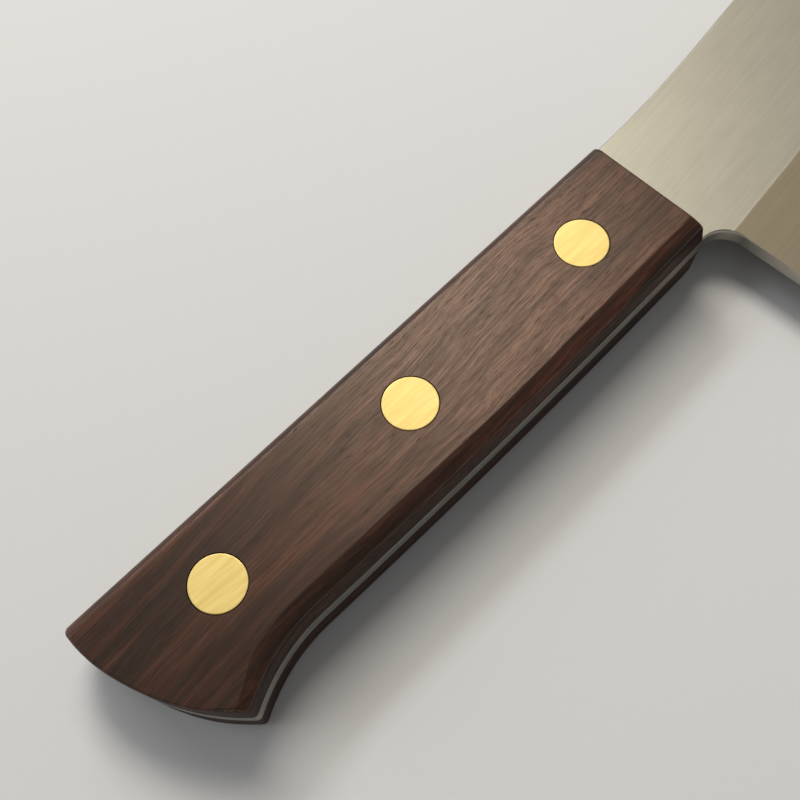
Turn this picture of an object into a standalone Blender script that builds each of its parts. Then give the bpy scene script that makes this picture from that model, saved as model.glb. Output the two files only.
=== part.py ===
"""Kitchen cleaver: a blade with a full tang, two wooden scales and three two-piece rivets.

The knife lies on its left side. X runs along the handle towards the blade, Y towards the
spine and Z up, out of the right side. The drawing frame has its origin on the middle
rivet's axis, halfway through the steel. The finished part is then moved so that its origin
is the middle of the bottom of its box.
"""

import math

import bmesh
import bpy
from mathutils import Matrix, Vector

# Clearance between two pieces that touch
FIT_GAP = 0.0003

# Steel
STEEL_THICKNESS = 0.0032
SPINE_SWEEP_RADIUS = 0.300
SPINE_SWEEP_START = 0.0050
SPINE_SLOPE = math.radians(7.5)
BLADE_SLOPE = math.radians(5.7)
BLADE_LENGTH = 0.214
FLAT_HEIGHT_AT_HEEL = 0.0292
GRIND_HEIGHT = 0.068
GRIND_EDGE_THICKNESS = 0.0005
EDGE_BEVEL_HEIGHT = 0.0015
EDGE_THICKNESS = 0.00008
EDGE_CURVE_RADIUS = 2.290
TIP_TOP_RADIUS = 0.012
TIP_BOTTOM_RADIUS = 0.004
NECK_LENGTH = 0.0051
HEEL_FILLET_RADIUS = 0.0051
HEEL_LEAN = math.radians(2.0)

# Handle outline, where the scales meet the tang
SPINE_HEIGHT = 0.0135
BELLY_DEPTH = 0.01365
BELLY_LOWEST_AT = 0.0080
BELLY_RADIUS = 1.800
FLARE_START = -0.0330
FLARE_RADIUS = 0.0335
BUTT_CENTRE_X = -0.0250
BUTT_CENTRE_Y = 0.0106
BUTT_RADIUS = 0.0382
CORNER_RADIUS = 0.0010

# Scales
SCALE_THICKNESS = 0.0062
FRONT_RIVET_TO_SCALE_END = 0.0169
FRONT_SLANT = math.radians(15.0)
SPINE_LEAN = math.radians(17.0)
FACE_ROUNDING_DEPTH = 0.0012
SPINE_ROUNDING = 0.0013
BELLY_ROUNDING = 0.0026
BUTT_ROUNDING = 0.0008
FRONT_ROUNDING = 0.0003

# Rivets
RIVET_PITCH = 0.0415
RIVET_HEAD_DIAMETER = 0.0095
RIVET_HEAD_THICKNESS = 0.0022
SOCKET_DIAMETER = 0.0060
POST_DIAMETER = 0.0038
SOCKET_FLOOR = 0.0009

# Facets
CORNER_STEPS = 3
BUTT_STEPS = 14
FLARE_STEPS = 8
BELLY_STEPS = 10
SPINE_STEPS = 10
EDGE_STEPS = 24
ROUNDING_STEPS = 3
RIVET_SIDES = 32

# Cutters reach this far past what they cut
CUTTER_REACH = 0.020

# Points closer than this are one point, and edges sharper than this stay sharp
WELD_DISTANCE = 0.000001
SHARP_ANGLE = math.radians(30.0)

# Worked-out sizes
HALF_STEEL = STEEL_THICKNESS / 2
SCALE_INNER = HALF_STEEL + FIT_GAP
SCALE_OUTER = SCALE_INNER + SCALE_THICKNESS
FACE_FRONT_X = RIVET_PITCH + FRONT_RIVET_TO_SCALE_END
NECK_START_X = FACE_FRONT_X + SCALE_THICKNESS * math.tan(FRONT_SLANT)
HEEL_X = NECK_START_X + NECK_LENGTH
GRIND_TAPER = (HALF_STEEL - GRIND_EDGE_THICKNESS / 2) / GRIND_HEIGHT
SHANK_HOLE_DIAMETER = SOCKET_DIAMETER + 2 * FIT_GAP
RIVET_STATIONS = {"rear": -RIVET_PITCH, "middle": 0.0, "front": RIVET_PITCH}


def arc(centre, radius, start, end, steps):
    """Return the points of an arc from one angle to another, both ends included."""
    turn = (end - start) / steps
    angles = [start + turn * step for step in range(steps + 1)]
    return [centre + radius * Vector((math.cos(a), math.sin(a))) for a in angles]


def angle_of(vector):
    """Return the direction of a 2D vector as an angle from 0 to a full turn."""
    return math.atan2(vector.y, vector.x) % math.tau


def circle_crossing(centre_a, radius_a, centre_b, radius_b):
    """Return the crossing of two circles that lies left of the way from the first to the second."""
    between = centre_b - centre_a
    distance = between.length
    along = (radius_a ** 2 - radius_b ** 2 + distance ** 2) / (2 * distance)
    aside = math.sqrt(radius_a ** 2 - along ** 2)
    across = Vector((-between.y, between.x)) / distance
    return centre_a + between / distance * along + across * aside


def line_crossing(point_a, direction_a, point_b, direction_b):
    """Return the crossing of two lines, each given by a point and a direction."""
    determinant = direction_a.x * direction_b.y - direction_a.y * direction_b.x
    gap = point_b - point_a
    distance = (gap.x * direction_b.y - gap.y * direction_b.x) / determinant
    return point_a + direction_a * distance


def corner_arc(before, corner, after, radius, steps):
    """Return the points that round the corner between two straight sides."""
    back = (before - corner).normalized()
    ahead = (after - corner).normalized()
    half_angle = back.angle(ahead) / 2
    centre = corner + (back + ahead).normalized() * (radius / math.sin(half_angle))
    start = corner + back * (radius / math.tan(half_angle)) - centre
    end = corner + ahead * (radius / math.tan(half_angle)) - centre
    turn = start.angle_signed(end)
    return arc(centre, radius, angle_of(start), angle_of(start) - turn, steps)


def handle_sides(front_x, spine_inset=0.0, butt_inset=0.0, belly_inset=0.0):
    """Return the handle's outline as its spine, rear and belly runs, drawn in by the insets.

    The rear run goes from the spine round the butt and the flare to the belly. The last run
    is the belly as far as the front end.
    """
    spine_y = SPINE_HEIGHT - spine_inset
    butt_centre = Vector((BUTT_CENTRE_X, BUTT_CENTRE_Y))
    butt_radius = BUTT_RADIUS - butt_inset
    belly_centre = Vector((BELLY_LOWEST_AT, BELLY_RADIUS - BELLY_DEPTH))
    belly_radius = BELLY_RADIUS - belly_inset

    flare_way = FLARE_START - BELLY_LOWEST_AT
    outward = Vector((flare_way, -math.sqrt(BELLY_RADIUS ** 2 - flare_way ** 2))) / BELLY_RADIUS
    flare_centre = belly_centre + outward * (BELLY_RADIUS + FLARE_RADIUS)
    flare_radius = FLARE_RADIUS + belly_inset

    top_y = spine_y - CORNER_RADIUS
    top_reach = math.sqrt((butt_radius - CORNER_RADIUS) ** 2 - (top_y - butt_centre.y) ** 2)
    top_centre = Vector((butt_centre.x - top_reach, top_y))
    beak_centre = circle_crossing(
        flare_centre, flare_radius + CORNER_RADIUS, butt_centre, butt_radius - CORNER_RADIUS
    )

    butt_start = angle_of(top_centre - butt_centre)
    butt_end = angle_of(beak_centre - butt_centre)
    flare_end = angle_of(beak_centre - flare_centre)
    belly_start = angle_of(outward)
    top_corner = arc(top_centre, CORNER_RADIUS, math.pi / 2, butt_start, CORNER_STEPS)
    butt = arc(butt_centre, butt_radius, butt_start, butt_end, BUTT_STEPS)
    beak = arc(beak_centre, CORNER_RADIUS, butt_end, flare_end + math.pi, CORNER_STEPS)
    flare = arc(flare_centre, flare_radius, flare_end, belly_start - math.pi, FLARE_STEPS)
    rear = top_corner + butt[1:] + beak[1:] + flare[1:]

    corner_x = front_x - CORNER_RADIUS
    corner_drop = math.sqrt(
        (belly_radius - CORNER_RADIUS) ** 2 - (corner_x - belly_centre.x) ** 2
    )
    corner_centre = Vector((corner_x, belly_centre.y - corner_drop))
    belly_end = angle_of(corner_centre - belly_centre)
    belly = arc(belly_centre, belly_radius, belly_start, belly_end, BELLY_STEPS)[1:]
    return spine_y, rear, belly, corner_centre


def scale_outline(front_x, spine_inset, butt_inset, belly_inset):
    """Return the closed outline of a scale at one height, counter-clockwise."""
    spine_y, rear, belly, corner_centre = handle_sides(
        front_x, spine_inset, butt_inset, belly_inset
    )
    spine_centre = Vector((front_x - CORNER_RADIUS, spine_y - CORNER_RADIUS))
    spine_corner = arc(spine_centre, CORNER_RADIUS, 0.0, math.pi / 2, CORNER_STEPS)
    belly_side = angle_of(belly[-1] - corner_centre)
    belly_corner = arc(corner_centre, CORNER_RADIUS, belly_side, math.tau, CORNER_STEPS)
    return spine_corner + rear + belly + belly_corner[1:]


def blade_point(along, below):
    """Return a point given along the grind line from the heel, and below it towards the edge."""
    start = Vector((HEEL_X, SPINE_HEIGHT - FLAT_HEIGHT_AT_HEEL))
    forward = Vector((math.cos(BLADE_SLOPE), math.sin(BLADE_SLOPE)))
    down = Vector((forward.y, -forward.x))
    return start + forward * along + down * below


def edge_circle_centre():
    """Return the centre of the cutting edge's long curve."""
    return blade_point(BLADE_LENGTH / 2, GRIND_HEIGHT - EDGE_CURVE_RADIUS)


def spine_run():
    """Return the spine from the tip's end of its straight stretch back to the tang."""
    start_x = NECK_START_X - SPINE_SWEEP_START
    centre = Vector((start_x, SPINE_HEIGHT + SPINE_SWEEP_RADIUS))
    down = -math.pi / 2
    return arc(centre, SPINE_SWEEP_RADIUS, down + SPINE_SLOPE, down, SPINE_STEPS)


def blade_outline():
    """Return the closed outline of the blade and its tang, counter-clockwise."""
    spine = spine_run()
    spine_way = Vector((math.cos(SPINE_SLOPE), math.sin(SPINE_SLOPE)))
    up_the_tip = blade_point(BLADE_LENGTH, -1.0) - blade_point(BLADE_LENGTH, 0.0)
    tip_top = line_crossing(spine[0], spine_way, blade_point(BLADE_LENGTH, 0.0), up_the_tip)

    centre = edge_circle_centre()
    half_turn = math.asin(BLADE_LENGTH / 2 / EDGE_CURVE_RADIUS)
    straight_down = BLADE_SLOPE - math.pi / 2
    tip_bottom = arc(centre, EDGE_CURVE_RADIUS, straight_down + half_turn, straight_down, 1)[0]
    edge_way = (tip_bottom - centre).orthogonal()
    if edge_way.dot(spine_way) > 0:
        edge_way = -edge_way

    _, rear, belly, _ = handle_sides(NECK_START_X)
    neck_y = belly[-1].y
    fillet_radius = min(HEEL_FILLET_RADIUS, NECK_LENGTH)
    heel_way = Vector((math.sin(HEEL_LEAN), -math.cos(HEEL_LEAN)))
    heel_top = Vector((HEEL_X, neck_y))
    neck_start = Vector((NECK_START_X, neck_y))
    neck_fillet = corner_arc(
        neck_start, heel_top, heel_top + heel_way, fillet_radius, FLARE_STEPS
    )

    heel_offset = heel_top - centre
    heel_middle = heel_offset.dot(heel_way)
    heel_length = -heel_middle + math.sqrt(
        heel_middle ** 2 - heel_offset.length_squared + EDGE_CURVE_RADIUS ** 2
    )
    heel_bottom = heel_top + heel_way * heel_length
    trim = TIP_BOTTOM_RADIUS / EDGE_CURVE_RADIUS
    heel_angle = math.atan2(heel_bottom.y - centre.y, heel_bottom.x - centre.x)
    edge = arc(centre, EDGE_CURVE_RADIUS, heel_angle, straight_down + half_turn - trim, EDGE_STEPS)

    tip_bottom_corner = corner_arc(
        tip_bottom + edge_way, tip_bottom, tip_top, TIP_BOTTOM_RADIUS, CORNER_STEPS
    )
    tip_top_corner = corner_arc(tip_bottom, tip_top, spine[0], TIP_TOP_RADIUS, FLARE_STEPS)
    return (
        tip_top_corner + spine + rear + belly[:-1] + neck_fillet + edge[:-1] + tip_bottom_corner
    )


def new_collection(name):
    """Return a collection of the given name, linked to the scene and empty."""
    collection = bpy.data.collections.get(name) or bpy.data.collections.new(name)
    if collection.name not in bpy.context.scene.collection.children:
        bpy.context.scene.collection.children.link(collection)
    return collection


def material(name, colour, roughness, metallic):
    """Return a Principled material of one colour and finish."""
    finish = bpy.data.materials.new(name)
    finish.use_nodes = True
    shader = finish.node_tree.nodes["Principled BSDF"]
    shader.inputs["Base Color"].default_value = (*colour, 1.0)
    shader.inputs["Roughness"].default_value = roughness
    shader.inputs["Metallic"].default_value = metallic
    return finish


def mesh_object(name, mesh, collection):
    """Return a new object that holds a mesh, linked to a collection."""
    piece = bpy.data.objects.new(name, mesh)
    collection.objects.link(piece)
    return piece


def object_from_bmesh(name, shape, collection):
    """Return a new object that holds the shape of a bmesh, which is freed."""
    data = bpy.data.meshes.new(name)
    shape.to_mesh(data)
    shape.free()
    return mesh_object(name, data, collection)


def plate(name, outline, thickness, collection):
    """Return a flat plate as a mesh, cut from a filled 2D curve and centred on Z 0."""
    curve = bpy.data.curves.new(name + "_outline", "CURVE")
    curve.dimensions = "2D"
    curve.fill_mode = "BOTH"
    curve.extrude = thickness / 2
    spline = curve.splines.new("POLY")
    spline.points.add(len(outline) - 1)
    for point, place in zip(spline.points, outline):
        point.co = (place.x, place.y, 0.0, 1.0)
    spline.use_cyclic_u = True
    drawing = mesh_object(name + "_drawing", curve, collection)
    bpy.context.view_layer.update()
    evaluated = drawing.evaluated_get(bpy.context.evaluated_depsgraph_get())
    filled = bpy.data.meshes.new_from_object(evaluated)
    solid = bmesh.new()
    solid.from_mesh(filled)
    bmesh.ops.remove_doubles(solid, verts=solid.verts, dist=WELD_DISTANCE)
    bmesh.ops.recalc_face_normals(solid, faces=solid.faces)
    piece = object_from_bmesh(name, solid, collection)
    piece.matrix_world = drawing.matrix_world
    bpy.data.meshes.remove(filled)
    bpy.data.objects.remove(drawing)
    return piece


def ring_of_edges(mesh, outline, height):
    """Add a closed ring of edges to a bmesh and return them."""
    corners = [mesh.verts.new((point.x, point.y, height)) for point in outline]
    return [mesh.edges.new((a, b)) for a, b in zip(corners, corners[1:] + corners[:1])]


def scale_blank(name, side, collection):
    """Return a scale without its holes, lofted from the tang's outline to its rounded face.

    The side is 1 for the right scale, above the tang, and -1 for the left one, below it.
    """
    shoulder = SCALE_THICKNESS - FACE_ROUNDING_DEPTH
    levels = [(0.0, 0.0), (shoulder, 0.0)]
    for step in range(1, ROUNDING_STEPS + 1):
        turn = math.pi / 2 * step / ROUNDING_STEPS
        levels.append((shoulder + FACE_ROUNDING_DEPTH * math.sin(turn), 1 - math.cos(turn)))

    mesh = bmesh.new()
    rings = []
    for height, rounding in levels:
        lean = min(height, shoulder) * math.tan(SPINE_LEAN)
        outline = scale_outline(
            NECK_START_X - height * math.tan(FRONT_SLANT) - FRONT_ROUNDING * rounding,
            lean + SPINE_ROUNDING * rounding,
            BUTT_ROUNDING * rounding,
            BELLY_ROUNDING * rounding,
        )
        rings.append(ring_of_edges(mesh, outline, side * (SCALE_INNER + height)))
    for lower, upper in zip(rings, rings[1:]):
        bmesh.ops.bridge_loops(mesh, edges=lower + upper)
    bmesh.ops.edgeloop_fill(mesh, edges=rings[0])
    bmesh.ops.edgeloop_fill(mesh, edges=rings[-1])
    bmesh.ops.recalc_face_normals(mesh, faces=mesh.faces)
    return object_from_bmesh(name, mesh, collection)


def hide_cutter(cutter):
    """Show a cutter as wire only, and keep it out of renders."""
    cutter.hide_render = True
    cutter.display_type = "WIRE"


def subtract(piece, cutter):
    """Cut one object out of another with a live Boolean."""
    cut = piece.modifiers.new("cut_" + cutter.name, "BOOLEAN")
    cut.operation = "DIFFERENCE"
    cut.solver = "EXACT"
    cut.object = cutter


def drill(name, diameter, bottom, top, collection):
    """Return a cutter of one upright cylinder at each rivet's station."""
    mesh = bmesh.new()
    radius = diameter / 2
    for x in RIVET_STATIONS.values():
        place = Matrix.Translation((x, 0.0, (bottom + top) / 2))
        bmesh.ops.create_cone(
            mesh, cap_ends=True, segments=RIVET_SIDES,
            radius1=radius, radius2=radius, depth=top - bottom, matrix=place,
        )
    cutter = object_from_bmesh(name, mesh, collection)
    hide_cutter(cutter)
    return cutter


def grind_cutter(name, side, collection):
    """Return the block that grinds one side of the blade down to its edge."""
    length = BLADE_LENGTH + 2 * CUTTER_REACH
    width = GRIND_HEIGHT + CUTTER_REACH
    mesh = bmesh.new()
    bmesh.ops.create_cube(mesh, size=1.0)
    bmesh.ops.scale(mesh, verts=mesh.verts, vec=(length, width, CUTTER_REACH))
    middle = (BLADE_LENGTH / 2, -width / 2, side * CUTTER_REACH / 2)
    bmesh.ops.translate(mesh, verts=mesh.verts, vec=middle)
    cutter = object_from_bmesh(name, mesh, collection)
    start = blade_point(0.0, 0.0)
    cutter.location = (start.x, start.y, side * HALF_STEEL)
    cutter.rotation_euler = (side * math.atan(GRIND_TAPER), 0.0, BLADE_SLOPE)
    hide_cutter(cutter)
    return cutter


def edge_cutter(name, side, collection):
    """Return the swept wedge that puts one side of the final bevel on the curved edge."""
    ground = GRIND_EDGE_THICKNESS / 2 + EDGE_BEVEL_HEIGHT * GRIND_TAPER
    slope = (ground - EDGE_THICKNESS / 2) / EDGE_BEVEL_HEIGHT
    outer = EDGE_BEVEL_HEIGHT
    inner = 2 * EDGE_BEVEL_HEIGHT
    section = [
        (outer, EDGE_THICKNESS / 2 - outer * slope),
        (outer, HALF_STEEL),
        (-inner, HALF_STEEL),
        (-inner, EDGE_THICKNESS / 2 + inner * slope),
    ]
    centre = edge_circle_centre()
    sweep = (BLADE_LENGTH + 2 * CUTTER_REACH) / EDGE_CURVE_RADIUS
    start = Vector((math.cos(-sweep / 2), math.sin(-sweep / 2)))
    mesh = bmesh.new()
    corners = []
    for outward, height in section:
        place = start * (EDGE_CURVE_RADIUS + outward)
        corners.append(mesh.verts.new((place.x, place.y, side * height)))
    face = mesh.faces.new(corners)
    bmesh.ops.spin(
        mesh, geom=[face, *face.edges, *face.verts], cent=(0, 0, 0), axis=(0, 0, 1),
        dvec=(0, 0, 0), angle=sweep, steps=EDGE_STEPS, use_duplicate=False,
    )
    bmesh.ops.recalc_face_normals(mesh, faces=mesh.faces)
    cutter = object_from_bmesh(name, mesh, collection)
    cutter.location = (centre.x, centre.y, 0.0)
    cutter.rotation_euler = (0.0, 0.0, BLADE_SLOPE - math.pi / 2)
    hide_cutter(cutter)
    return cutter


def build_blade(parts, cutters, steel):
    """Return the blade with its tang, ground on both sides and drilled for the rivets."""
    blade = plate("blade_with_tang", blade_outline(), STEEL_THICKNESS, parts)
    blade.data.materials.append(steel)
    for side, word in ((1, "right"), (-1, "left")):
        subtract(blade, grind_cutter(word + "_grind_cutter", side, cutters))
        subtract(blade, edge_cutter(word + "_edge_cutter", side, cutters))
    tang_drill = drill(
        "tang_drill", SHANK_HOLE_DIAMETER, -STEEL_THICKNESS, STEEL_THICKNESS, cutters
    )
    subtract(blade, tang_drill)
    return blade


def build_scales(parts, cutters, wood):
    """Return both scales, drilled and counterbored for the rivets."""
    seat = RIVET_HEAD_DIAMETER + 2 * FIT_GAP
    seat_floor = SCALE_OUTER - RIVET_HEAD_THICKNESS - FIT_GAP
    reach = SCALE_OUTER + SCALE_THICKNESS
    scale_drill = drill("scale_drill", SHANK_HOLE_DIAMETER, -reach, reach, cutters)
    scales = []
    for side, word in ((1, "right"), (-1, "left")):
        scale = scale_blank(word + "_scale", side, parts)
        scale.data.materials.append(wood)
        low, high = sorted((side * seat_floor, side * reach))
        subtract(scale, scale_drill)
        subtract(scale, drill(word + "_seat_drill", seat, low, high, cutters))
        scales.append(scale)
    return scales


def turned(name, profile, x, collection):
    """Return a solid turned about the upright axis at one station, from its half profile.

    The profile runs from the axis at the top, down the outer side, to the axis at the bottom.
    """
    data = bpy.data.meshes.new(name)
    edges = [(index, index + 1) for index in range(len(profile) - 1)]
    data.from_pydata([(radius, 0.0, height) for radius, height in profile], edges, [])
    piece = mesh_object(name, data, collection)
    piece.location.x = x
    screw = piece.modifiers.new("turn", "SCREW")
    screw.axis = "Z"
    screw.angle = math.tau
    screw.steps = RIVET_SIDES
    screw.render_steps = RIVET_SIDES
    screw.use_merge_vertices = True
    screw.merge_threshold = WELD_DISTANCE
    screw.use_normal_calculate = False
    return piece


def build_rivet(station, x, parts, brass):
    """Return the post from the right side and the socket from the left side of one rivet."""
    head = RIVET_HEAD_DIAMETER / 2
    seat = SCALE_OUTER - RIVET_HEAD_THICKNESS
    socket_end = seat - FIT_GAP
    bore_floor = SOCKET_FLOOR - seat
    bore = POST_DIAMETER / 2 + FIT_GAP
    post_profile = [
        (0.0, SCALE_OUTER),
        (head, SCALE_OUTER),
        (head, seat),
        (POST_DIAMETER / 2, seat),
        (POST_DIAMETER / 2, bore_floor + FIT_GAP),
        (0.0, bore_floor + FIT_GAP),
    ]
    socket_profile = [
        (0.0, bore_floor),
        (bore, bore_floor),
        (bore, socket_end),
        (SOCKET_DIAMETER / 2, socket_end),
        (SOCKET_DIAMETER / 2, -seat),
        (head, -seat),
        (head, -SCALE_OUTER),
        (0.0, -SCALE_OUTER),
    ]
    halves = [
        turned(station + "_rivet_post", post_profile, x, parts),
        turned(station + "_rivet_socket", socket_profile, x, parts),
    ]
    for half in halves:
        half.data.materials.append(brass)
    return halves


def stand_on_origin(pieces, cutters, parts):
    """Move everything so that the origin is the middle of the bottom of the part's box."""
    frame = bpy.data.objects.new("cleaver_frame", None)
    parts.objects.link(frame)
    bpy.context.view_layer.update()
    graph = bpy.context.evaluated_depsgraph_get()
    corners = []
    for piece in pieces:
        shown = piece.evaluated_get(graph)
        corners += [shown.matrix_world @ Vector(corner) for corner in shown.bound_box]
    low = Vector([min(corner[axis] for corner in corners) for axis in range(3)])
    high = Vector([max(corner[axis] for corner in corners) for axis in range(3)])
    for item in [*pieces, *cutters.objects]:
        item.parent = frame
    frame.location = (-(low.x + high.x) / 2, -(low.y + high.y) / 2, -low.z)
    print("drawing origin lies at", tuple(round(value, 6) for value in frame.location))


def main():
    """Build the cleaver in an emptied scene."""
    for item in list(bpy.data.objects):
        bpy.data.objects.remove(item)
    parts = new_collection("cleaver")
    cutters = new_collection("cutters")
    steel = material("satin_steel", (0.62, 0.60, 0.55), 0.32, 1.0)
    wood = material("dark_rosewood", (0.085, 0.032, 0.024), 0.42, 0.0)
    brass = material("brushed_brass", (0.86, 0.66, 0.28), 0.35, 1.0)

    pieces = [build_blade(parts, cutters, steel)]
    pieces += build_scales(parts, cutters, wood)
    for station, x in RIVET_STATIONS.items():
        pieces += build_rivet(station, x, parts, brass)
    for piece in pieces:
        piece.data.shade_smooth()
        piece.data.set_sharp_from_angle(angle=SHARP_ANGLE)
    stand_on_origin(pieces, cutters, parts)


main()
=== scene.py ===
"""A kitchen cleaver that lies on its left side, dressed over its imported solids.

Sizes are real ones in metres. The drawing frame has its origin on the middle rivet's axis,
halfway through the steel, with X along the handle towards the blade, Y towards the spine and
Z up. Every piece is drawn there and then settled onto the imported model, at ORIGIN.
"""

import logging
import math
from collections.abc import Callable, Iterable
from dataclasses import dataclass, field
from enum import Enum

import bpy
from mathutils import Matrix, Vector


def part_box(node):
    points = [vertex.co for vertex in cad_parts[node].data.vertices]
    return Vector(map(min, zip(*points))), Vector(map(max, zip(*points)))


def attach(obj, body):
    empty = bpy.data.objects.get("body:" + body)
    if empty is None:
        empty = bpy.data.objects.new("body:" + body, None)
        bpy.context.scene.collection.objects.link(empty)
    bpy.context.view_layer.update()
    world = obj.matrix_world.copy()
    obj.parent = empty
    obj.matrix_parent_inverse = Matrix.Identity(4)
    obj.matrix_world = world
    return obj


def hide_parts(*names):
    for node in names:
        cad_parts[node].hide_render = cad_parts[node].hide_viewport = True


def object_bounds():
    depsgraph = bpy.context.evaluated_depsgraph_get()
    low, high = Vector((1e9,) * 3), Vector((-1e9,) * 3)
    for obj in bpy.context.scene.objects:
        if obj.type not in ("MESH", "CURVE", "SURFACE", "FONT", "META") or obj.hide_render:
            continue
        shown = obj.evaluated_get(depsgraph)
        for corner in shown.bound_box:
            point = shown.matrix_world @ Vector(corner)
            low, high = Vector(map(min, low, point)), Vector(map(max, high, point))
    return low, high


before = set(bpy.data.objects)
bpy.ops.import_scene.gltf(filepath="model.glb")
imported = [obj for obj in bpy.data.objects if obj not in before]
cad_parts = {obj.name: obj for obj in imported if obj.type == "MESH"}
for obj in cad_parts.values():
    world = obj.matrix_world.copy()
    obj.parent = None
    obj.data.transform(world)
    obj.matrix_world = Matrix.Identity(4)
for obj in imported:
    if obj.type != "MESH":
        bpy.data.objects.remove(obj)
CAD_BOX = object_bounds()
POST_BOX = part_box("middle_rivet_post")

log = logging.getLogger("cleaver")

WELD = 0.000002
LEVEL = 0.9
SMOOTH_ANGLE = math.radians(32.0)
UP = Vector((0.0, 0.0, 1.0))

Pair = tuple[float, float]
Triple = tuple[float, float, float]
Piece = bpy.types.Object
Finish = bpy.types.Material
Socket = bpy.types.NodeSocket
Value = Socket | Vector | float | tuple[float, ...] | None


class Named(Enum):
    """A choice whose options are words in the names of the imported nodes."""

    @property
    def word(self) -> str:
        """Return the option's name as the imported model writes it."""
        return self.name.lower()


class Side(Named):
    """The side of the steel that a scale or a rivet head lies on."""

    RIGHT = 1
    LEFT = -1


class Station(Named):
    """The place of a rivet along the handle, in rivet pitches from the middle one."""

    REAR = -1
    MIDDLE = 0
    FRONT = 1


class Half(Named):
    """The two halves of a pressed rivet, each with the side that its head lies on."""

    POST = Side.RIGHT
    SOCKET = Side.LEFT


def middle_of(box: Iterable[Iterable[float]]) -> Vector:
    """Return the middle of a box that is given by its lowest and its highest corner."""
    low, high = (Vector(corner) for corner in box)
    return (low + high) / 2


ORIGIN = Vector((*middle_of(POST_BOX).xy, middle_of(CAD_BOX).z))


def angle_of(vector: Vector) -> float:
    """Return the direction of a flat vector as an angle from 0 to a full turn."""
    return math.atan2(vector.y, vector.x) % math.tau


def polar(radius: float, angle: float) -> Vector:
    """Return the flat vector of a length and a direction."""
    return Vector((math.cos(angle), math.sin(angle))) * radius


def is_level(normal: Vector) -> bool:
    """Return whether a face with this normal lies about level."""
    return abs(normal.z) > LEVEL


def circle_crossing(centre_a: Vector, radius_a: float, centre_b: Vector, radius_b: float) -> Vector:
    """Return where two circles cross, left of the way from the first to the second.

    Args:
        centre_a: The first circle's centre.
        radius_a: The first circle's radius.
        centre_b: The second circle's centre.
        radius_b: The second circle's radius.

    Returns:
        The crossing as a flat point.
    """
    between = centre_b - centre_a
    along = (radius_a ** 2 - radius_b ** 2 + between.length_squared) / (2 * between.length)
    aside = math.sqrt(radius_a ** 2 - along ** 2)
    across = Vector((-between.y, between.x)).normalized()
    return centre_a + between.normalized() * along + across * aside


def line_crossing(point_a: Vector, way_a: Vector, point_b: Vector, way_b: Vector) -> Vector:
    """Return where two flat lines cross, each given by a point and a direction."""
    gap = point_b - point_a
    return point_a + way_a * (gap.cross(way_b) / way_a.cross(way_b))


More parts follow.
